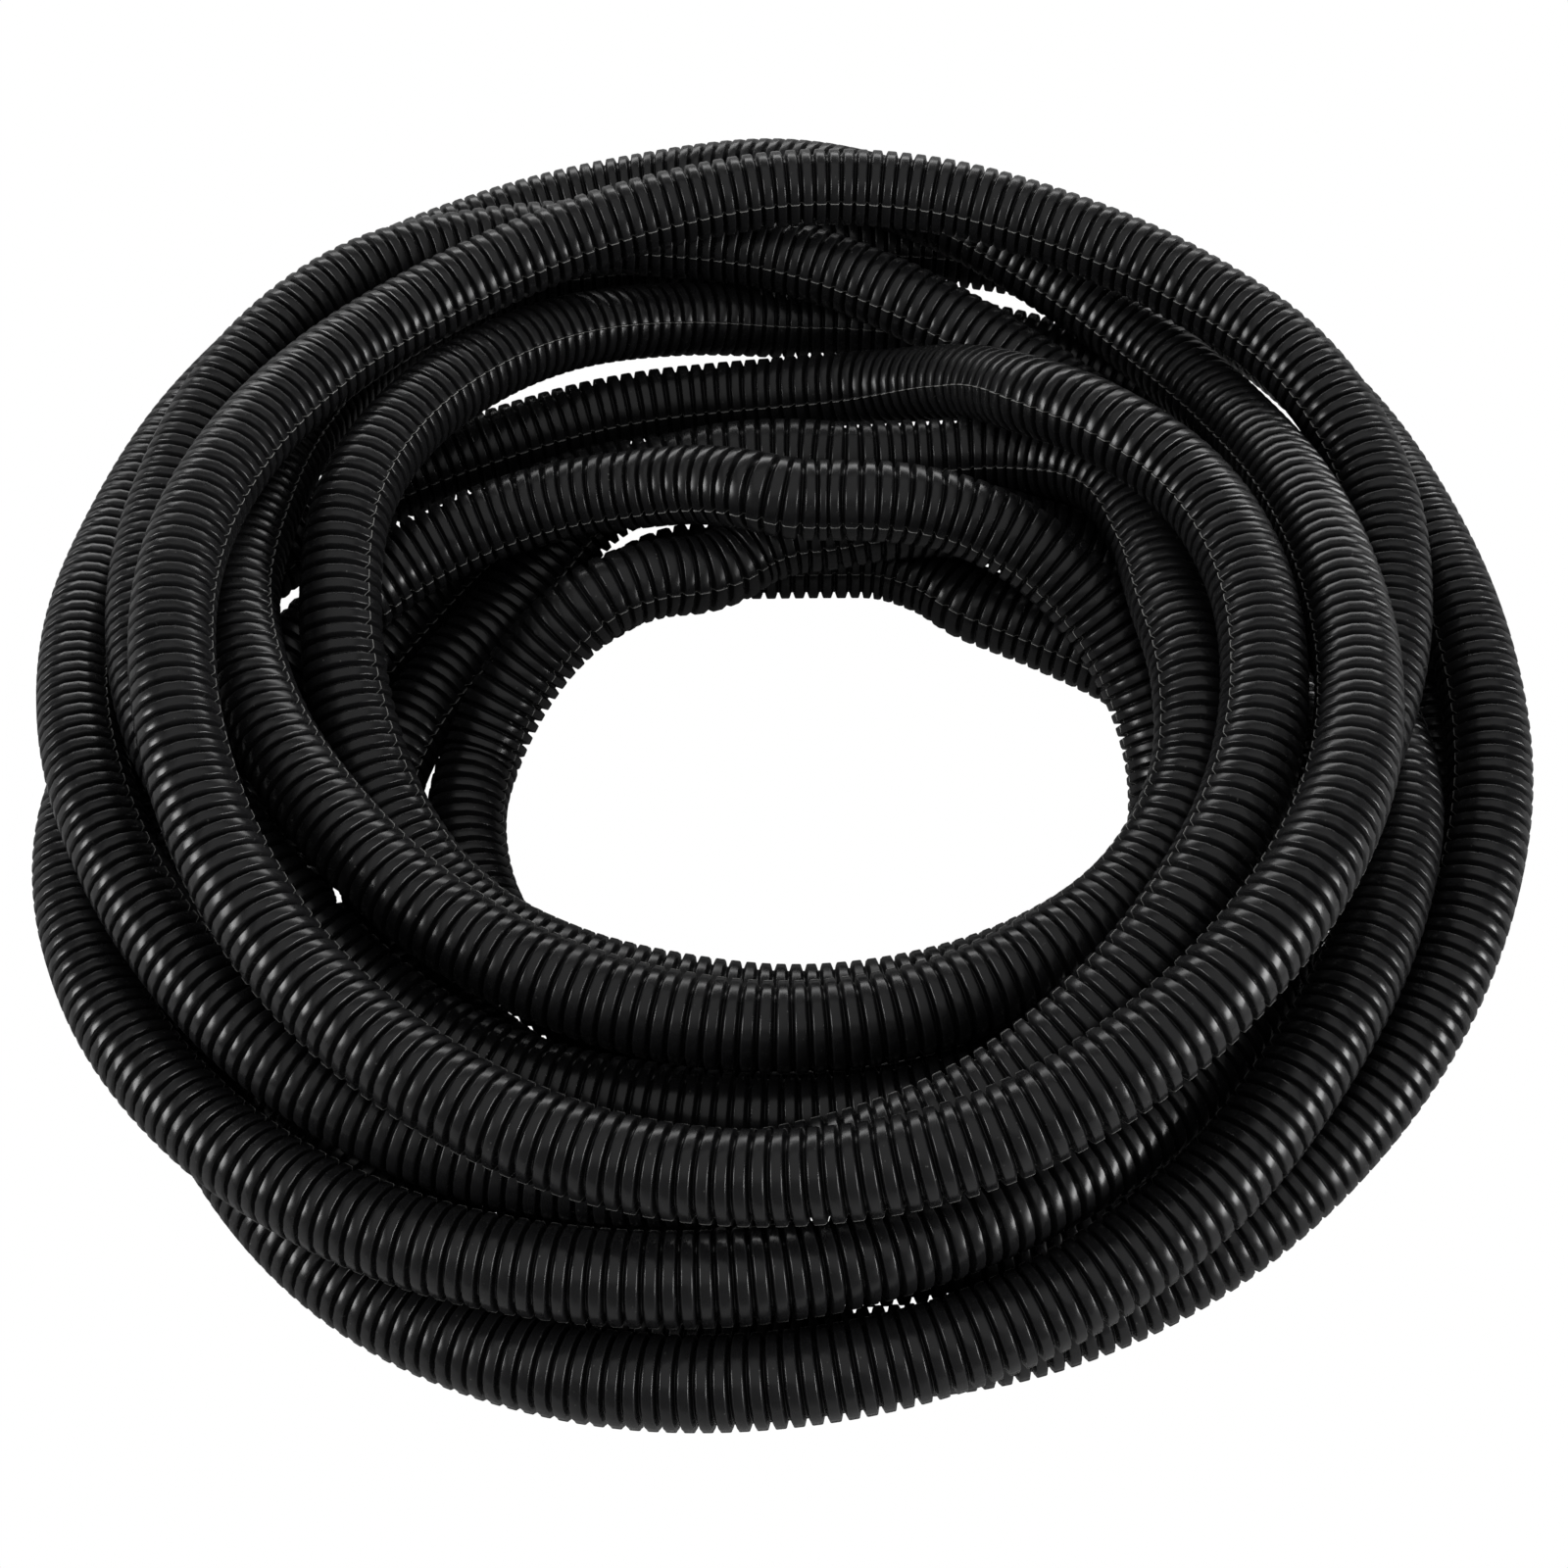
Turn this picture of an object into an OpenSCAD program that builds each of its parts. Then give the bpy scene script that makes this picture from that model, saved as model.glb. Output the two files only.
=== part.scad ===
// Corrugated conduit: one length of ribbed plastic tube, lying as a loose coil on the floor.
// Millimetres, +Z up, the floor at Z = 0 and the middle of the coil's box on the Z axis.

/* [Conduit] */
// Outside diameter over the ribs
outside_diameter = 21.2; // [12:0.1:40]
// Thickness of the plastic wall
wall = 0.5; // [0.3:0.05:1.2]
// Depth of the grooves between the ribs
groove_depth = 1.7; // [0.8:0.1:2.4]
// Distance from one rib to the next
rib_pitch = 4.3; // [3:0.1:8]
// Part of the pitch that each rib's flat crest takes up
crest_share = 0.5; // [0.35:0.01:0.6]
// Part of the pitch that the bottom of each groove takes up
root_share = 0.22; // [0.15:0.01:0.3]

/* [Ends] */
// Whole ribs in the straight length at each cut end
end_ribs = 5; // [3:1:8]

/* [Coil] */
// Size of the coil, counted against the conduit's own diameter
spread = 1; // [1:0.01:1.1]

/* [Hidden] */
// Each row is one turn, and the turns follow one another along the conduit. Each number tells
// how far out from the coil's middle the strand lies, in conduit diameters, at headings that
// go round clockwise as seen from above, from the back left.
turn_out = [
    [2.8, 2.2, 2.2, 2.8, 3.9, 5.9, 6.8, 6.7, 6.4, 6.1, 5.2, 4.0],
    [3.6, 3.1, 3.1, 4.0, 4.6, 5.0, 5.5, 5.7, 5.7, 5.9, 6.4, 6.9],
    [7.8, 7.8, 7.9, 8.3, 8.2, 8.5, 8.7, 8.7, 8.4, 7.9, 6.9, 5.0],
    [2.9, 1.7, 1.6, 2.1, 3.6, 5.0, 5.3, 5.1, 5.1, 5.1, 4.2, 2.6],
    [1.7, 1.7, 2.0, 3.1, 4.8, 6.3, 7.1, 7.9, 8.6, 9.1, 8.9, 7.3],
    [5.7, 5.0, 4.7, 4.2, 4.9, 5.6, 6.3, 6.9, 7.5, 8.1, 8.5, 8.9],
    [9.3, 8.8, 7.6, 6.8, 6.3, 6.6, 7.2, 7.7, 7.7, 7.5, 7.3, 7.0],
    [6.7, 6.6, 6.9, 7.1, 7.2, 6.9, 6.7, 6.5, 6.4, 6.8, 7.4, 8.0],
    [8.0, 7.0, 5.9, 5.4, 5.5, 5.3, 5.2, 5.0, 5.0, 5.3, 5.4, 5.6],
    [5.8, 6.2, 6.4, 7.0, 7.8, 8.1, 7.9, 7.7, 7.4, 7.1, 6.3, 5.1],
    [4.4, 3.8, 3.6, 4.3, 6.0, 7.3, 8.1, 8.9, 9.2, 8.8, 7.9],
];
// How many strands lie under the same places. Half a strand is one that lies in a dip.
turn_up = [
    [0, 0, 0, 0, 0, 0, 0, 0, 0, 0, 0, 0],
    [0.5, 1, 1, 1, 1.5, 2, 2, 2, 2, 2, 2, 1.5],
    [0.5, 0, 0, 0.5, 1, 1, 0.5, 0, 0, 0.5, 1, 1],
    [1.5, 2, 2, 2, 1.5, 0.5, 0, 0, 0, 0, 0, 1],
    [1, 1, 1, 1, 0.5, 1, 1, 1.5, 1.5, 1, 0.5, 0],
    [0, 0, 0.5, 2, 2.5, 3, 3, 2, 1.5, 1.5, 1.5, 0.5],
    [0, 0, 0.5, 1, 2, 3, 3.5, 3, 2.5, 2.5, 2.5, 2.5],
    [2, 2, 2, 2, 2, 2, 2, 1.5, 1, 1, 2, 1.5],
    [1.5, 1, 1, 1, 1.5, 1, 1, 1, 1, 1, 1.5, 2],
    [1.5, 0.5, 0, 0, 0, 0, 0, 0, 0, 0, 0, 0],
    [0, 0, 0, 0, 0, 1, 1.5, 1, 0.5, 0, 0],
];
headings = 12;
first_heading = 135;
steps_per_heading = 2;
sides = 12;

// Strands that would lie too close are eased apart, a share of the overlap at a time. The
// first rounds spread each push along the strand, so that it stays a smooth bend.
clear_gap = 1.06;
ease = 0.35;
smooth_rounds = 24;
last_rounds = 6;

od = outside_diameter;
bore = od - 2 * groove_depth - 2 * wall;
rib_slope = rib_pitch * (1 - crest_share - root_share) / 2;
// How far each open end is sunk into the swept tube.
neck = 2;

// A curve through four numbers, between the second and the third.
function blend(a, b, c, d, t) =
    b + t * (c - a) / 2 + t * t * (a - 2.5 * b + 2 * c - d / 2)
    + t * t * t * (1.5 * (b - c) + (d - a) / 2);

// Every number of a table, one turn after another.
function strung(table) = [for (row = table) each row];
outs = strung(turn_out);
ups = strung(turn_up);
last = len(outs) - 1;

function along(list, u) =
    let(i = min(max(floor(u), 0), last - 1), t = u - i)
    blend(list[max(i - 1, 0)], list[i], list[i + 1], list[min(i + 2, last)], t);

// A strand's place at each step: how far out and how high its middle is, in diameters.
per_turn = headings * steps_per_heading;
steps = last * steps_per_heading;
laid = [for (i = [0:steps])
    let(u = i / steps_per_heading) [along(outs, u), max(along(ups, u), 0) + 0.5]];

// How squarely the strand crosses its heading at a step, 1 where it runs straight round.
function squareness(places, i) =
    let(
        before = max(i - 1, 0),
        after = min(i + 1, steps),
        run = (after - before) * places[i][0] * 2 * PI / per_turn
    )
    1 / norm([1, (places[after][0] - places[before][0]) / run]);

// Push on the strand at step i from the strand at step j, where they lie too close.
function push_apart(places, square, i, j) =
    let(
        c = (square[i] + square[j]) / 2,
        away = [(places[i][0] - places[j][0]) * c, places[i][1] - places[j][1]],
        distance = max(norm(away), 0.001),
        overlap = max(clear_gap - distance, 0)
    )
    [away[0] / c, away[1]] * overlap / distance;

function summed(vectors) = [for (v = vectors) 1] * vectors;

function pushes(places) =
    let(square = [for (i = [0:steps]) squareness(places, i)])
    [for (i = [0:steps])
        summed([[0, 0], for (j = [i % per_turn:per_turn:steps]) if (j != i)
            push_apart(places, square, i, j)])];

function spread_along(list) =
    [for (i = [0:steps])
        i == 0 || i == steps ? list[i] : (list[i - 1] + 2 * list[i] + list[i + 1]) / 4];

function settled(places, rounds) =
    rounds == 0 ? places :
    let(
        pushed = pushes(places),
        moves = rounds > last_rounds ? spread_along(pushed) : pushed
    )
    settled(
        [for (i = [0:steps])
            [places[i][0] + ease * moves[i][0], max(places[i][1] + ease * moves[i][1], 0.5)]],
        rounds - 1
    );

places = settled(laid, smooth_rounds + last_rounds);
coil = [for (i = [0:steps])
    let(heading = first_heading - i * 360 / per_turn, r = places[i][0] * spread)
    od * [r * cos(heading), r * sin(heading), places[i][1]]];

function unit(v) = v / norm(v);
function way(i) = unit(coil[min(i + 1, steps)] - coil[max(i - 1, 0)]);

// Cross-section ring square to the route, with its sides level.
function ring(p, dir, radius) =
    let(side = unit(cross(dir, [0, 0, 1])), top = cross(side, dir))
    [for (k = [0:sides - 1])
        let(turn = 360 * (k + 0.5) / sides) p + radius * (cos(turn) * side + sin(turn) * top)];

skin = [for (i = [0:steps]) each ring(coil[i], way(i), od / 2 / cos(180 / sides))];
function lowest(axis) = min([for (p = skin) p[axis]]);
function highest(axis) = max([for (p = skin) p[axis]]);
middle = [(lowest(0) + highest(0)) / 2, (lowest(1) + highest(1)) / 2, lowest(2)];

module coil_tube() {
    quads = [for (i = [0:steps - 1], k = [0:sides - 1])
        let(a = i * sides + k, b = i * sides + (k + 1) % sides)
        [a, b, b + sides, a + sides]];
    tris = [for (q = quads) each [[q[0], q[1], q[2]], [q[0], q[2], q[3]]]];
    start_cap = [[for (k = [0:sides - 1]) sides - 1 - k]];
    end_cap = [[for (k = [0:sides - 1]) steps * sides + k]];
    polyhedron(points = skin, faces = concat(tris, start_cap, end_cap));
}

// Half outlines of one rib along the conduit: from groove to crest to groove.
function rib_line(k, root_radius) =
    let(start = k * rib_pitch, crest_radius = root_radius + groove_depth)
    [
        [root_radius, start],
        [root_radius, start + rib_pitch * root_share],
        [crest_radius, start + rib_pitch * root_share + rib_slope],
        [crest_radius, start + rib_pitch - rib_slope],
    ];

// One open end: a short straight length of the real ribbed wall, cut in a groove.
module cut_end() {
    outer = [for (k = [0:end_ribs - 1]) each rib_line(k, bore / 2 + wall)];
    cut = end_ribs * rib_pitch;
    difference() {
        rotate_extrude($fn = 48)
            polygon(concat(
                [[0, -neck]], [[bore / 2 + wall, -neck]], outer,
                [[bore / 2 + wall, cut], [bore / 2 + wall, cut + rib_pitch * root_share / 2],
                 [0, cut + rib_pitch * root_share / 2]]));
        cylinder(d = bore, h = cut + rib_pitch, $fn = 48);
    }
}

// Stands a sub-part on a point of the route, looking along the given way.
module looking(p, dir) {
    translate(p) rotate([0, acos(dir[2]), atan2(dir[1], dir[0])]) children();
}

module conduit() {
    color("#1c1c1e") translate(-middle) {
        coil_tube();
        looking(coil[0], -way(0)) cut_end();
        looking(coil[steps], way(steps)) cut_end();
    }
}

conduit();
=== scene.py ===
"""Corrugated conduit lying as a loose coil: its ribbed tube, black plastic finish, light and camera.

Every length is in metres in the frame of the CAD, +Z up, the floor at zero.
"""

import logging
import math
from dataclasses import dataclass, field

import bmesh
import bpy
import numpy as np
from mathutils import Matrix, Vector

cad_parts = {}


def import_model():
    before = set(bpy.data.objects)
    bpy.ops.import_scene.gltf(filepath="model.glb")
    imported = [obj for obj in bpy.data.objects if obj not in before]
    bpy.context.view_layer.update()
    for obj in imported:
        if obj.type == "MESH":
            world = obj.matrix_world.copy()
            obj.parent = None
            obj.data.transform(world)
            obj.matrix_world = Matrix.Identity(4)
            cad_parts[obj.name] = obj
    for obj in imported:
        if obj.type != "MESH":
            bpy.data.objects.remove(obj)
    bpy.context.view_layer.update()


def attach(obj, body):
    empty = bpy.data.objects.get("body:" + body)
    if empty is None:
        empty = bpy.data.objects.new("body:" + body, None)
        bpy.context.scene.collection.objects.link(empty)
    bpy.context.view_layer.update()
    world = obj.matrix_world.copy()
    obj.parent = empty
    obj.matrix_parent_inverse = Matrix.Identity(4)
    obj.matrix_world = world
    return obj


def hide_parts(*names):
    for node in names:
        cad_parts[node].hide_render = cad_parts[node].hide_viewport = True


logging.basicConfig(level=logging.INFO, format="%(message)s")
LOG = logging.getLogger("conduit")

# Outside diameter over the ribs, in metres.
OD = 0.0212
TURN = 360.0
MILLIMETRES = 1000.0


@dataclass(frozen=True)
class Course:
    """The line that the conduit follows, in conduit diameters, as in the part's source.

    Each row is one turn, and each number is read every 30 degrees, clockwise as seen from above,
    from the back left. turn_up counts the strands that lie below, a half where one lies in a dip.
    """

    turn_out: tuple = (
        (2.8, 2.2, 2.2, 2.8, 3.9, 5.9, 6.8, 6.7, 6.4, 6.1, 5.2, 4.0),
        (3.6, 3.1, 3.1, 4.0, 4.6, 5.0, 5.5, 5.7, 5.7, 5.9, 6.4, 6.9),
        (7.8, 7.8, 7.9, 8.3, 8.2, 8.5, 8.7, 8.7, 8.4, 7.9, 6.9, 5.0),
        (2.9, 1.7, 1.6, 2.1, 3.6, 5.0, 5.3, 5.1, 5.1, 5.1, 4.2, 2.6),
        (1.7, 1.7, 2.0, 3.1, 4.8, 6.3, 7.1, 7.9, 8.6, 9.1, 8.9, 7.3),
        (5.7, 5.0, 4.7, 4.2, 4.9, 5.6, 6.3, 6.9, 7.5, 8.1, 8.5, 8.9),
        (9.3, 8.8, 7.6, 6.8, 6.3, 6.6, 7.2, 7.7, 7.7, 7.5, 7.3, 7.0),
        (6.7, 6.6, 6.9, 7.1, 7.2, 6.9, 6.7, 6.5, 6.4, 6.8, 7.4, 8.0),
        (8.0, 7.0, 5.9, 5.4, 5.5, 5.3, 5.2, 5.0, 5.0, 5.3, 5.4, 5.6),
        (5.8, 6.2, 6.4, 7.0, 7.8, 8.1, 7.9, 7.7, 7.4, 7.1, 6.3, 5.1),
        (4.4, 3.8, 3.6, 4.3, 6.0, 7.3, 8.1, 8.9, 9.2, 8.8, 7.9),
    )
    turn_up: tuple = (
        (0, 0, 0, 0, 0, 0, 0, 0, 0, 0, 0, 0),
        (0.5, 1, 1, 1, 1.5, 2, 2, 2, 2, 2, 2, 1.5),
        (0.5, 0, 0, 0.5, 1, 1, 0.5, 0, 0, 0.5, 1, 1),
        (1.5, 2, 2, 2, 1.5, 0.5, 0, 0, 0, 0, 0, 1),
        (1, 1, 1, 1, 0.5, 1, 1, 1.5, 1.5, 1, 0.5, 0),
        (0, 0, 0.5, 2, 2.5, 3, 3, 2, 1.5, 1.5, 1.5, 0.5),
        (0, 0, 0.5, 1, 2, 3, 3.5, 3, 2.5, 2.5, 2.5, 2.5),
        (2, 2, 2, 2, 2, 2, 2, 1.5, 1, 1, 2, 1.5),
        (1.5, 1, 1, 1, 1.5, 1, 1, 1, 1, 1, 1.5, 2),
        (1.5, 0.5, 0, 0, 0, 0, 0, 0, 0, 0, 0, 0),
        (0, 0, 0, 0, 0, 1, 1.5, 1, 0.5, 0, 0),
    )
    headings: int = 12
    first_heading: float = 135.0
    between: int = 2
    clear_gap: float = 1.06
    ease: float = 0.35
    smooth_rounds: int = 24
    last_rounds: int = 6

    @property
    def per_turn(self) -> int:
        """Number of steps in one turn."""
        return self.headings * self.between

    def places(self) -> np.ndarray:
        """Return out and up in diameters at every step, with close strands eased apart.

        Returns:
            An array of rows (out, up), per_turn rows to a turn.
        """
        out = np.array([v for row in self.turn_out for v in row])
        up = np.array([v for row in self.turn_up for v in row])
        steps = np.arange((len(out) - 1) * self.between + 1) / self.between
        place = np.stack([through(out, steps), np.maximum(through(up, steps), 0.0) + 0.5], axis=1)
        for left in range(self.smooth_rounds + self.last_rounds, 0, -1):
            move = self.pushes(place)
            if left > self.last_rounds:
                move[1:-1] = (move[:-2] + 2 * move[1:-1] + move[2:]) / 4
            place = place + self.ease * move
            place[:, 1] = np.maximum(place[:, 1], 0.5)
        return place

    def pushes(self, place: np.ndarray) -> np.ndarray:
        """Return how far each step is pushed by the strands that lie too close to it.

        Args:
            place: Rows (out, up) at every step.

        Returns:
            Rows (outward push, upward push), in diameters.
        """
        count = len(place)
        step = np.arange(count)
        before, after = np.maximum(step - 1, 0), np.minimum(step + 1, count - 1)
        run = (after - before) * place[:, 0] * 2 * math.pi / self.per_turn
        square = 1 / np.hypot(1, (place[after, 0] - place[before, 0]) / run)
        push = np.zeros_like(place)
        for away in range(-count // self.per_turn, count // self.per_turn + 1):
            other = step + away * self.per_turn
            i = step[(other >= 0) & (other < count) & (away != 0)]
            j = i + away * self.per_turn
            share = (square[i] + square[j]) / 2
            apart = np.stack([(place[i, 0] - place[j, 0]) * share, place[i, 1] - place[j, 1]], axis=1)
            distance = np.maximum(np.linalg.norm(apart, axis=1), 0.001)
            overlap = np.maximum(self.clear_gap - distance, 0) / distance
            push[i] += np.stack([apart[:, 0] / share, apart[:, 1]], axis=1) * overlap[:, None]
        return push

    def points(self, place: np.ndarray, steps: np.ndarray) -> np.ndarray:
        """Return the centreline in metres round the coil's middle.

        Args:
            place: Rows (out, up) at every step.
            steps: Where the points are wanted, per_turn to a turn.

        Returns:
            Rows (x, y, z), the coil's winding centre at zero.
        """
        out = through(place[:, 0], steps)
        up = np.maximum(through(place[:, 1], steps), 0.5)
        angle = np.radians(self.first_heading - steps * TURN / self.per_turn)
        return OD * np.stack([out * np.cos(angle), out * np.sin(angle), up], axis=1)


def unit(vector: np.ndarray) -> np.ndarray:
    """Return the vector made one unit long."""
    return vector / np.linalg.norm(vector)


def through(values: np.ndarray, at: np.ndarray) -> np.ndarray:
    """Follow a smooth curve through evenly spaced values.

    Args:
        values: The values, one for each whole place.
        at: The places wanted, whole or between.

    Returns:
        The curve's value at each place.
    """
    last = len(values) - 1
    i = np.clip(np.floor(at).astype(int), 0, last - 1)
    t = at - i
    a, b = values[np.maximum(i - 1, 0)], values[i]
    c, d = values[i + 1], values[np.minimum(i + 2, last)]
    return b + 0.5 * t * (c - a + t * (2 * a - 5 * b + 4 * c - d + t * (3 * (b - c) + d - a)))


@dataclass(frozen=True)
class RibProfile:
    """One rib and one groove of the corrugation.

    Each station is a ring: its share of the pitch, its share of the depth below the crest, and
    the lean of the surface there along the tube, in radians.
    """

    pitch: float = 0.0039
    depth: float = 0.0017
    stations: tuple = (
        (0.000, 1.00, -1.00),
        (0.110, 1.00, 1.00),
        (0.190, 0.45, 1.25),
        (0.250, 0.08, 0.95),
        (0.325, 0.00, 0.16),
        (0.785, 0.00, -0.16),
        (0.860, 0.08, -0.95),
        (0.920, 0.45, -1.25),
    )


@dataclass(frozen=True)
class Section:
    """The round section of the tube, with its two mould parting lines."""

    plain_sides: int = 16
    seam_foot: float = math.radians(2.2)
    seam_flank: float = math.radians(1.1)
    seam_height: float = 0.00018
    seam_tilt: float = 0.9
    # The parting lines' mean roll round the tube in radians, then the size in radians, the rate
    # in radians a metre and the start of each slow swing about it.
    mean_roll: float = 0.42
    swings: tuple = ((0.18, 1.9, 0.0), (0.10, 4.3, 1.0))

    def columns(self) -> list:
        """Lay out the lengthwise columns of points.

        Returns:
            A tuple (angle, extra height, sideways tilt) for each column.
        """
        half = self.plain_sides // 2
        found = []
        for seam in (0.0, math.pi):
            found += [
                (seam - self.seam_foot, 0.0, 0.0),
                (seam - self.seam_flank, self.seam_height / 2, -self.seam_tilt),
                (seam, self.seam_height, 0.0),
                (seam + self.seam_flank, self.seam_height / 2, self.seam_tilt),
                (seam + self.seam_foot, 0.0, 0.0),
            ]
            found += [(seam + math.pi * k / (half + 1), 0.0, 0.0) for k in range(1, half + 1)]
        return found

    def roll(self, distance: np.ndarray) -> np.ndarray:
        """Return how far, in radians, the parting lines have rolled round at each distance."""
        return self.mean_roll + sum(size * np.sin(distance * rate + start)
                                    for size, rate, start in self.swings)


@dataclass
class Tube:
    """The whole conduit, made as closed stretches of ribbed tube that meet in a groove."""

    course: Course = field(default_factory=Course)
    rib: RibProfile = field(default_factory=RibProfile)
    section: Section = field(default_factory=Section)
    samples_per_step: int = 40
    open_end: float = 0.0215
    bore_ribs: int = 8
    wall: float = 0.0005
    # How far ahead of and behind a ring its direction is read.
    reach: float = 0.002
    path_points: int = 160

    def __post_init__(self) -> None:
        """Work out the centreline, round the middle of the coil's box, and the run along it."""
        place = self.course.places()
        last = len(place) - 1
        steps = np.linspace(0, last, last * self.samples_per_step + 1)
        line = self.course.points(place, steps)
        self.middle = np.append((line.min(axis=0) + line.max(axis=0))[:2] / 2, 0.0)
        line = line - self.middle
        first = line[0] + self.open_end * unit(line[0] - line[1])
        final = line[-1] + self.open_end * unit(line[-1] - line[-2])
        self.steps = np.concatenate([[0.0], steps, [last]])
        self.line = np.concatenate([[first], line, [final]])
        hops = np.linalg.norm(np.diff(self.line, axis=0), axis=1)
        self.run = np.concatenate([[0.0], np.cumsum(hops)])

    @property
    def length(self) -> float:
        """Length of the conduit along its middle."""
        return float(self.run[-1])

    def at(self, distance: np.ndarray) -> np.ndarray:
        """Return the centreline's points at distances along it."""
        return np.stack([np.interp(distance, self.run, self.line[:, k]) for k in range(3)], axis=1)

    def frames(self, distance: np.ndarray) -> tuple:
        """Place the rings.

        Args:
            distance: Where the rings are along the tube.

        Returns:
            The middle of each ring, then its directions along the tube, sideways and up.
        """
        along = self.at(distance + self.reach) - self.at(distance - self.reach)
        along /= np.linalg.norm(along, axis=1)[:, None]
        side = np.cross(along, (0.0, 0.0, 1.0))
        side /= np.linalg.norm(side, axis=1)[:, None]
        return self.at(distance), along, side, np.cross(side, along)

    def stretch(self, name: str, first_rib: int, last_rib: int) -> bpy.types.Object:
        """Make one closed stretch of ribbed tube.

        Args:
            name: Name of the piece.
            first_rib: First rib of the stretch.
            last_rib: The rib after its last.

        Returns:
            The new mesh object.
        """
        distance, below, lean = self.outside(first_rib, last_rib)
        if first_rib == 0:
            bore = self.inside(0, self.bore_ribs)
            distance, below, lean = (np.concatenate([inner[::-1], outer])
                                     for inner, outer in zip(bore, (distance, below, lean)))
        if last_rib == self.ribs:
            bore = self.inside(last_rib - self.bore_ribs, last_rib)
            distance, below, lean = (np.concatenate([outer, inner[::-1]])
                                     for inner, outer in zip(bore, (distance, below, lean)))
        middle, along, side, up = self.frames(distance)
        columns = np.array(self.section.columns())
        angle = columns[None, :, 0] + self.section.roll(distance)[:, None]
        radius = OD / 2 - below[:, None] + columns[None, :, 1]
        out = np.cos(angle)[..., None] * side[:, None, :] + np.sin(angle)[..., None] * up[:, None, :]
        points = middle[:, None, :] + radius[..., None] * out
        facing = angle + columns[None, :, 2]
        tilted = (np.cos(facing)[..., None] * side[:, None, :]
                  + np.sin(facing)[..., None] * up[:, None, :])
        normals = tilted * np.cos(lean)[:, None, None] - along[:, None, :] * np.sin(lean)[:, None, None]
        rings, sides = angle.shape
        index = np.arange(rings * sides).reshape(rings, sides)
        ahead = np.roll(index, -1, axis=1)
        quads = np.stack([index[:-1], index[1:], ahead[1:], ahead[:-1]], axis=-1).reshape(-1, 4)
        caps = [index[0].tolist(), index[-1][::-1].tolist()]
        mesh = bpy.data.meshes.new(name)
        mesh.from_pydata(points.reshape(-1, 3).tolist(), [], quads.tolist() + caps)
        mesh.polygons.foreach_set("use_smooth", [True] * len(quads) + [False] * len(caps))
        self.lay_uv(mesh, distance, columns[:, 0])
        mesh.normals_split_custom_set_from_vertices(normals.reshape(-1, 3).tolist())
        mesh.update()
        piece = bpy.data.objects.new(name, mesh)
        bpy.context.scene.collection.objects.link(piece)
        return piece

    @property
    def ribs(self) -> int:
        """Number of whole ribs in the conduit."""
        return int(self.length / self.rib.pitch)

    def outside(self, first_rib: int, last_rib: int) -> tuple:
        """List the rings of the outer face.

        Args:
            first_rib: First rib of the stretch.
            last_rib: The rib after its last.

        Returns:
            Arrays of the distance, the depth below the crests and the lean of each ring.
        """
        shares = np.array(self.rib.stations)
        ribs = np.arange(first_rib, last_rib)
        distance = ((ribs[:, None] + shares[None, :, 0]) * self.rib.pitch).ravel()
        below = np.tile(shares[:, 1] * self.rib.depth, len(ribs))
        lean = np.tile(shares[:, 2], len(ribs))
        return (np.append(distance, last_rib * self.rib.pitch), np.append(below, self.rib.depth),
                np.append(lean, shares[0, 2]))

    def inside(self, first_rib: int, last_rib: int) -> tuple:
        """List the rings of the inner face, one wall below the outer and facing inward.

        Args:
            first_rib: First rib of the stretch.
            last_rib: The rib after its last.

        Returns:
            The same arrays as for the outer face.
        """
        distance, below, lean = self.outside(first_rib, last_rib)
        return distance, below + self.wall, lean + math.pi

    @staticmethod
    def lay_uv(mesh: bpy.types.Mesh, distance: np.ndarray, angle: np.ndarray) -> None:
        """Store the way round the tube and the distance along it, in millimetres, as UV.

        Args:
            mesh: A mesh whose first faces are the quads between the rings.
            distance: Where each ring is along the tube.
            angle: The angle of each column.
        """
        layer = mesh.uv_layers.new(name="tube")
        quads = (len(distance) - 1) * len(angle)
        row, col = np.divmod(np.arange(quads), len(angle))
        turned = np.unwrap(np.append(angle, angle[0] + 2 * math.pi)) * OD / 2
        u = np.stack([turned[col], turned[col], turned[col + 1], turned[col + 1]], axis=1)
        v = np.stack([distance[row], distance[row + 1], distance[row + 1], distance[row]], axis=1)
        flat = np.zeros((len(mesh.loops), 2))
        flat[: quads * 4] = np.stack([u.ravel(), v.ravel()], axis=1) * MILLIMETRES
        layer.data.foreach_set("uv", flat.ravel())

    def pieces(self) -> list:
        """Make every stretch, one for each turn of the coil, and attach it to the root body.

        Returns:
            The new mesh objects, from the conduit's first end to its last.
        """
        per_turn = self.course.per_turn
        turns = math.ceil(self.steps[-1] / per_turn)
        marks = [float(np.interp(k * per_turn, self.steps, self.run)) for k in range(1, turns)]
        edges = [0] + [round(mark / self.rib.pitch) for mark in marks] + [self.ribs]
        made = []
        for k in range(turns):
            piece = self.stretch(f"conduit_turn_{k + 1:02d}", edges[k], edges[k + 1])
            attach(piece, "root")
            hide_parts("conduit")
            LOG.info("%s: %d ribs, %d faces", piece.name, edges[k + 1] - edges[k],
                     len(piece.data.polygons))
            made.append(piece)
        return made


def linear(code: str) -> tuple:
    """Turn a colour as written into the one that the renderer reckons with.

    Args:
        code: An sRGB hex code such as "#1c1c1d".

    Returns:
        Linear red, green and blue, and an alpha of one.
    """
    parts = [int(code[i:i + 2], 16) / 255 for i in (1, 3, 5)]
    return tuple(p / 12.92 if p <= 0.04045 else ((p + 0.055) / 1.055) ** 2.4 for p in parts) + (1.0,)


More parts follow.
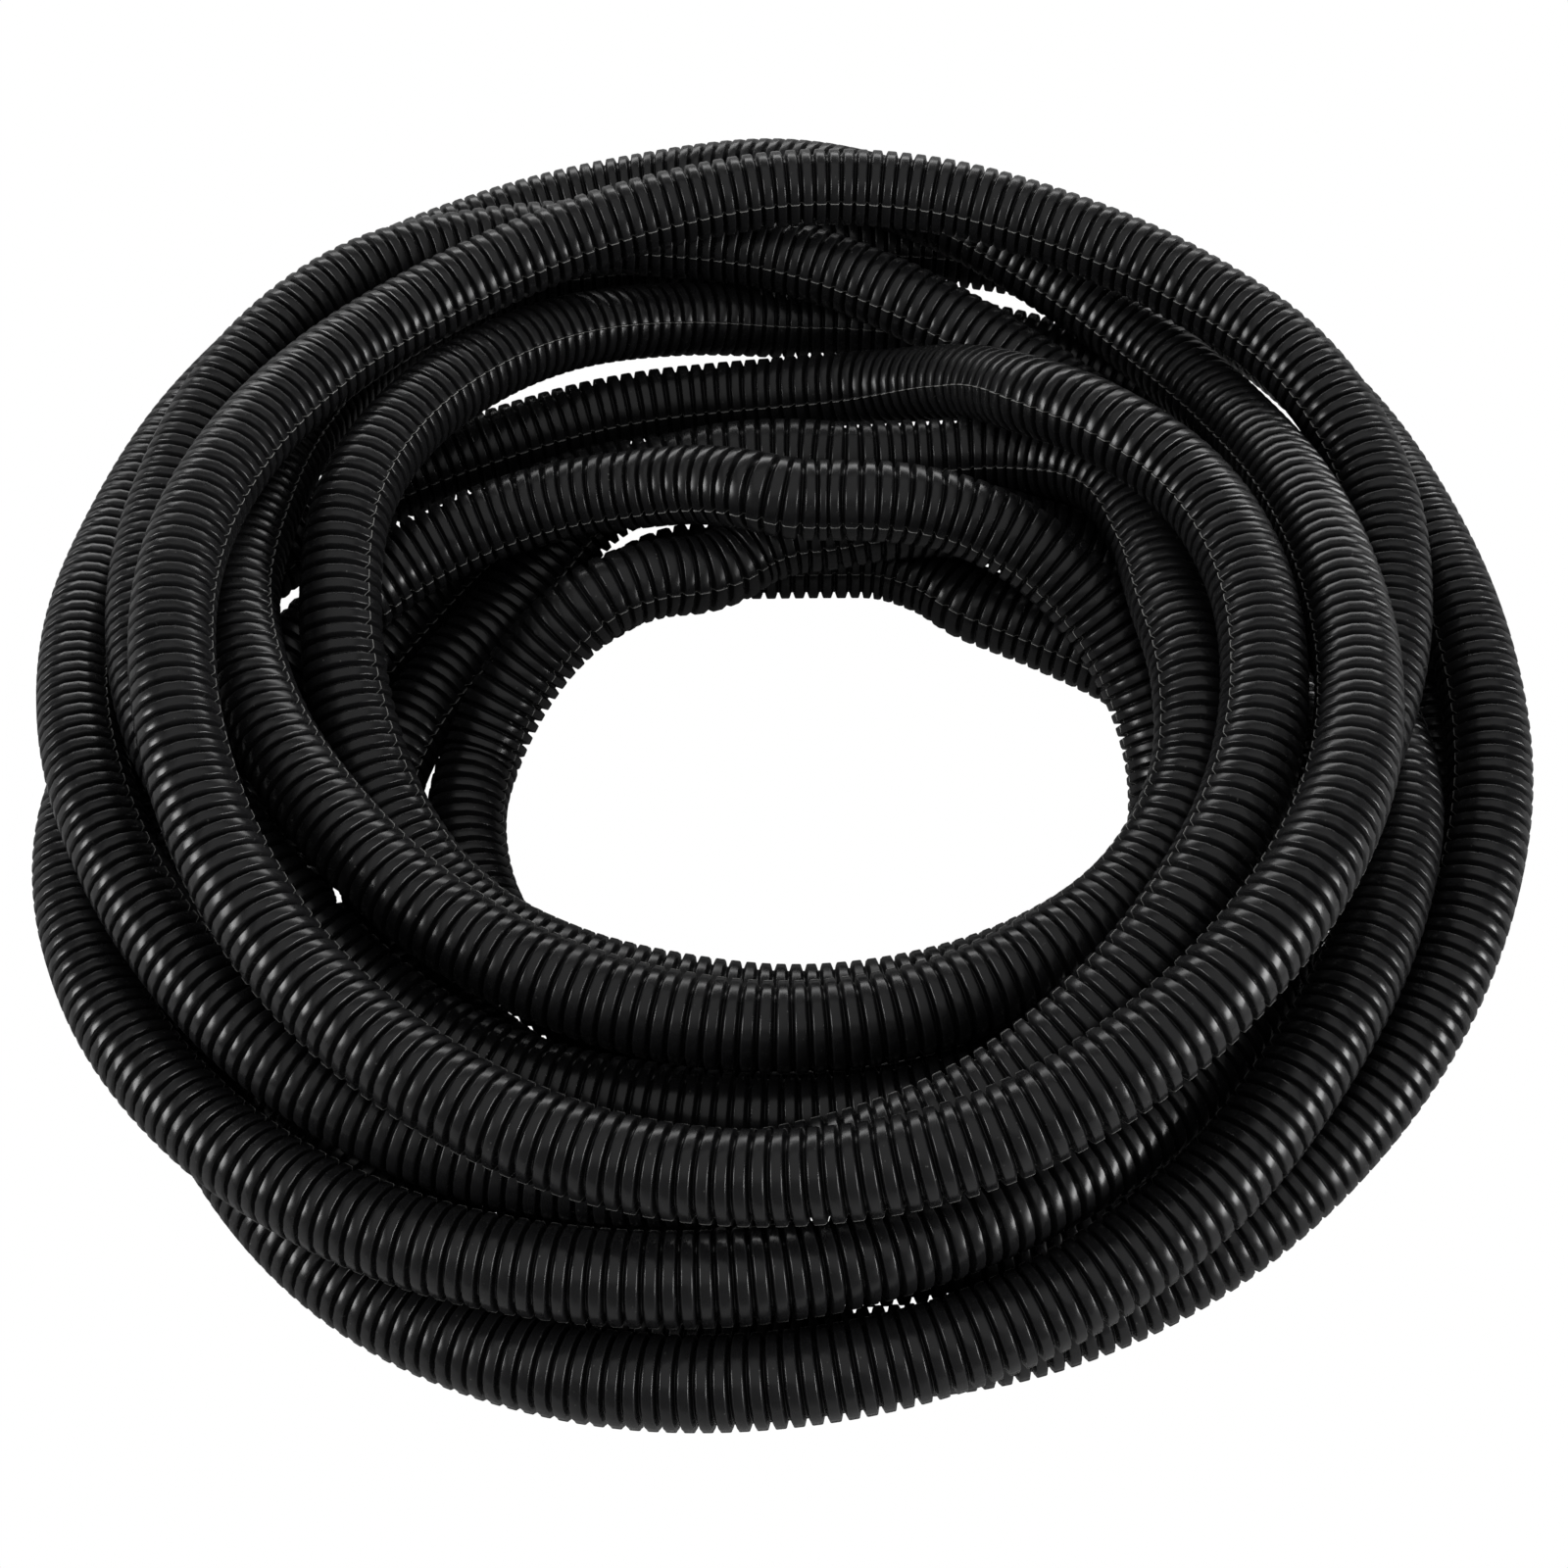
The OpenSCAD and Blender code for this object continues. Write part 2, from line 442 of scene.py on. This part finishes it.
def add_node(tree: bpy.types.NodeTree, kind: str, settings: dict | None = None,
             inputs: dict | None = None) -> bpy.types.Node:
    """Add a shader node.

    Args:
        tree: The node tree that it goes into.
        kind: The node's type.
        settings: Values of the node's own settings, by name.
        inputs: Values of its inputs, or the outputs linked to them, by name or number.

    Returns:
        The new node.
    """
    node = tree.nodes.new(kind)
    for key, value in (settings or {}).items():
        setattr(node, key, value)
    for key, value in (inputs or {}).items():
        if isinstance(value, bpy.types.NodeSocket):
            tree.links.new(value, node.inputs[key])
        else:
            node.inputs[key].default_value = value
    return node


def empty_tree(owner: bpy.types.Material | bpy.types.World) -> bpy.types.NodeTree:
    """Return the owner's node tree, switched on and cleared."""
    owner.use_nodes = True
    owner.node_tree.nodes.clear()
    return owner.node_tree


@dataclass(frozen=True)
class BlackPlastic:
    """Satin black polypropylene, as moulded, with faint die lines, dust, light scuffs and a painted
    highlight along the parting lines.
    """

    colour: str = "#1c1c1d"
    dust_colour: str = "#6e6e6c"
    roughness: float = 0.24
    scuffed_roughness: float = 0.38
    gloss: float = 0.5
    # Distance between the die lines that run round each rib in millimetres, how much longer
    # than wide they are as a share, and their height in metres.
    line_spacing: float = 0.22
    line_stretch: float = 0.02
    line_height: float = 0.000002
    # Size of the scuffed patches in millimetres, and how strong a patch starts and is full.
    scuff_size: float = 9.0
    scuff_edges: tuple = (0.44, 0.66)
    # Distance between dust specks in millimetres, their edges as a share of it, and the share
    # of places that have none.
    speck_spacing: float = 1.6
    speck_edges: tuple = (0.14, 0.09)
    speck_free: float = 0.70
    # Colour and width in millimetres of the painted highlight, a pale line painted along each
    # parting line, and the distance round the tube from one parting line to the other.
    parting_highlight_colour: str = "#a6a6a3"
    parting_highlight_width: float = 0.26
    half_round: float = math.pi * OD / 2 * MILLIMETRES

    def make(self) -> bpy.types.Material:
        """Build the material: polypropylene coloured right through with carbon black."""
        material = bpy.data.materials.new("black_polypropylene")
        tree = empty_tree(material)
        tube = add_node(tree, "ShaderNodeUVMap", {"uv_map": "tube"})
        scuffs = self.patches(tree, tube.outputs[0])
        dust = self.specks(tree, tube.outputs[0], scuffs)
        dusty = add_node(tree, "ShaderNodeMix", {"data_type": "RGBA"}, {
            0: dust, 6: linear(self.colour), 7: linear(self.dust_colour)})
        # Painted highlight: a pale colour mixed in along both parting lines.
        colour = add_node(tree, "ShaderNodeMix", {"data_type": "RGBA"}, {
            0: self.painted_parting_highlight(tree, tube.outputs[0]), 6: dusty.outputs[2], 7: linear(self.parting_highlight_colour)})
        rough = add_node(tree, "ShaderNodeMapRange", inputs={
            0: scuffs, 3: self.roughness, 4: self.scuffed_roughness})
        shader = add_node(tree, "ShaderNodeBsdfPrincipled", inputs={
            "Base Color": colour.outputs[2], "Roughness": rough.outputs[0],
            "Normal": self.die_lines(tree, tube.outputs[0])})
        shader.inputs["Specular IOR Level"].default_value = self.gloss
        add_node(tree, "ShaderNodeOutputMaterial", inputs={"Surface": shader.outputs[0]})
        return material

    def patches(self, tree: bpy.types.NodeTree, place: bpy.types.NodeSocket) -> bpy.types.NodeSocket:
        """Make a mask of lightly scuffed patches.

        Args:
            tree: The material's node tree.
            place: Millimetres round and along the tube.

        Returns:
            The mask, 0 to 1.
        """
        noise = add_node(tree, "ShaderNodeTexNoise", inputs={
            "Vector": place, "Scale": 1 / self.scuff_size, "Detail": 6.0, "Roughness": 0.65})
        ramp = add_node(tree, "ShaderNodeMapRange", inputs={
            0: noise.outputs[0], 1: self.scuff_edges[0], 2: self.scuff_edges[1]})
        return ramp.outputs[0]

    def specks(self, tree: bpy.types.NodeTree, place: bpy.types.NodeSocket,
               scuffs: bpy.types.NodeSocket) -> bpy.types.NodeSocket:
        """Make a mask of fine dust specks, which gather on the scuffed patches.

        Args:
            tree: The material's node tree.
            place: Millimetres round and along the tube.
            scuffs: The mask of the scuffed patches.

        Returns:
            The mask, 0 to 1.
        """
        cells = add_node(tree, "ShaderNodeTexVoronoi", inputs={
            "Vector": place, "Scale": 1 / self.speck_spacing, "Randomness": 1.0})
        near = add_node(tree, "ShaderNodeMapRange", inputs={
            0: cells.outputs["Distance"], 1: self.speck_edges[0], 2: self.speck_edges[1]})
        chosen = add_node(tree, "ShaderNodeSeparateColor", inputs={0: cells.outputs["Color"]})
        rare = add_node(tree, "ShaderNodeMath", {"operation": "GREATER_THAN"}, {
            0: chosen.outputs[0], 1: self.speck_free})
        some = add_node(tree, "ShaderNodeMath", {"operation": "MULTIPLY"}, {
            0: near.outputs[0], 1: rare.outputs[0]})
        worn = add_node(tree, "ShaderNodeMath", {"operation": "MULTIPLY"}, {
            0: some.outputs[0], 1: scuffs})
        return worn.outputs[0]

    def painted_parting_highlight(self, tree: bpy.types.NodeTree, place: bpy.types.NodeSocket) -> bpy.types.NodeSocket:
        """Make a mask of the painted highlight, a thin pale line along both parting lines.

        Args:
            tree: The material's node tree.
            place: Millimetres round and along the tube.

        Returns:
            The mask, 0 to 1.
        """
        parts = add_node(tree, "ShaderNodeSeparateXYZ", inputs={0: place})
        off = add_node(tree, "ShaderNodeMath", {"operation": "PINGPONG"}, {
            0: parts.outputs[0], 1: self.half_round / 2})
        edge = add_node(tree, "ShaderNodeMapRange", inputs={
            0: off.outputs[0], 1: self.parting_highlight_width / 2, 2: self.parting_highlight_width / 4})
        return edge.outputs[0]

    def die_lines(self, tree: bpy.types.NodeTree, place: bpy.types.NodeSocket) -> bpy.types.NodeSocket:
        """Make the fine lines that the mould leaves round each rib.

        Args:
            tree: The material's node tree.
            place: Millimetres round and along the tube.

        Returns:
            The surface's normal with the lines in it.
        """
        stretch = add_node(tree, "ShaderNodeMapping", inputs={
            "Vector": place, "Scale": (self.line_stretch, 1 / self.line_spacing, 1.0)})
        lines = add_node(tree, "ShaderNodeTexNoise", inputs={
            "Vector": stretch.outputs[0], "Scale": 1.0, "Detail": 2.0})
        bump = add_node(tree, "ShaderNodeBump", inputs={
            "Strength": 1.0, "Distance": self.line_height, "Height": lines.outputs[0]})
        return bump.outputs[0]


@dataclass(frozen=True)
class Lamp:
    """One soft rectangular lamp, aimed at the middle of the floor."""

    name: str
    place: tuple
    size: tuple
    watts: float

    def make(self) -> None:
        """Add the lamp."""
        light = bpy.data.lights.new(self.name, "AREA")
        light.shape = "RECTANGLE"
        light.size, light.size_y = self.size
        light.energy = self.watts
        lamp = bpy.data.objects.new(self.name, light)
        lamp.location = self.place
        lamp.rotation_euler = (-Vector(self.place)).to_track_quat("-Z", "Y").to_euler()
        bpy.context.scene.collection.objects.link(lamp)


@dataclass(frozen=True)
class Studio:
    """White floor and surround with soft light."""

    floor_size: float = 6.0
    # How pale the floor is to the light that falls on it, and how bright the surround is.
    floor_grey: float = 0.6
    surround: float = 0.12
    lamps: tuple = (
        Lamp("back", (0.0, 1.8, 0.5), (3.0, 0.5), 15.0),
        Lamp("right", (1.5, -0.6, 0.5), (1.0, 0.5), 17.0),
        Lamp("left", (-1.5, -0.2, 0.6), (0.8, 0.5), 11.0),
        Lamp("top", (0.0, 0.0, 2.0), (2.8, 2.8), 7.0),
    )

    def make(self) -> None:
        """Build the floor, the world and the lamps."""
        sheet = bmesh.new()
        bmesh.ops.create_grid(sheet, x_segments=1, y_segments=1, size=self.floor_size / 2)
        mesh = bpy.data.meshes.new("floor")
        sheet.to_mesh(mesh)
        sheet.free()
        floor = bpy.data.objects.new("floor", mesh)
        bpy.context.scene.collection.objects.link(floor)
        mesh.materials.append(self.white_floor())
        bpy.context.scene.world = self.world()
        for lamp in self.lamps:
            lamp.make()

    def white_floor(self) -> bpy.types.Material:
        """Build a floor that looks white and lights the coil like pale paper."""
        material = bpy.data.materials.new("white_floor")
        tree = empty_tree(material)
        grey = self.floor_grey
        paper = add_node(tree, "ShaderNodeBsdfDiffuse", inputs={"Color": (grey, grey, grey, 1)})
        glow = add_node(tree, "ShaderNodeEmission", inputs={"Color": (1, 1, 1, 1), "Strength": 1.0})
        mix = add_node(tree, "ShaderNodeMixShader", inputs={
            0: self.plainly_seen(tree), 1: paper.outputs[0], 2: glow.outputs[0]})
        add_node(tree, "ShaderNodeOutputMaterial", inputs={"Surface": mix.outputs[0]})
        return material

    @staticmethod
    def plainly_seen(tree: bpy.types.NodeTree) -> bpy.types.NodeSocket:
        """Return 1 where a surface is looked at straight, and 0 for the light that it gives."""
        return add_node(tree, "ShaderNodeLightPath").outputs["Is Camera Ray"]

    def world(self) -> bpy.types.World:
        """Build the surround: white to look at, dim as a light."""
        world = bpy.data.worlds.new("surround")
        tree = empty_tree(world)
        seen = add_node(tree, "ShaderNodeBackground", inputs={"Color": (1, 1, 1, 1), "Strength": 1.0})
        lit = add_node(tree, "ShaderNodeBackground", inputs={
            "Color": (1, 1, 1, 1), "Strength": self.surround})
        mix = add_node(tree, "ShaderNodeMixShader", inputs={
            0: self.plainly_seen(tree), 1: lit.outputs[0], 2: seen.outputs[0]})
        add_node(tree, "ShaderNodeOutputWorld", inputs={"Surface": mix.outputs[0]})
        return world


@dataclass(frozen=True)
class Shot:
    """The camera: where it looks, from how far and how steeply."""

    # The point looked at, from the centre that the coil winds round, and the middle of the
    # coil's box from the same centre.
    aim: tuple = (-0.1 * OD, -1.0 * OD, 0.0)
    coil_middle: tuple = (0.0, 0.0, 0.0)
    distance: float = 33.2 * OD
    elevation: float = math.radians(58)
    lens: float = 60.5
    sensor: float = 36.0

    def make(self) -> None:
        """Add the camera and make it the scene's own."""
        data = bpy.data.cameras.new("camera")
        data.lens = self.lens
        data.sensor_width = self.sensor
        camera = bpy.data.objects.new("camera", data)
        back = Vector((0, -math.cos(self.elevation), math.sin(self.elevation)))
        camera.location = Vector(self.aim) - Vector(self.coil_middle) + back * self.distance
        camera.rotation_euler = (math.pi / 2 - self.elevation, 0, 0)
        bpy.context.scene.collection.objects.link(camera)
        bpy.context.scene.camera = camera


def main() -> None:
    """Build the conduit, its surroundings and the camera."""
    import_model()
    plastic = BlackPlastic().make()
    tube = Tube()
    for piece in tube.pieces():
        piece.data.materials.append(plastic)
    Studio().make()
    Shot(coil_middle=tuple(tube.middle)).make()
    bpy.context.scene.view_settings.view_transform = "Standard"


if __name__ == "__main__":
    main()
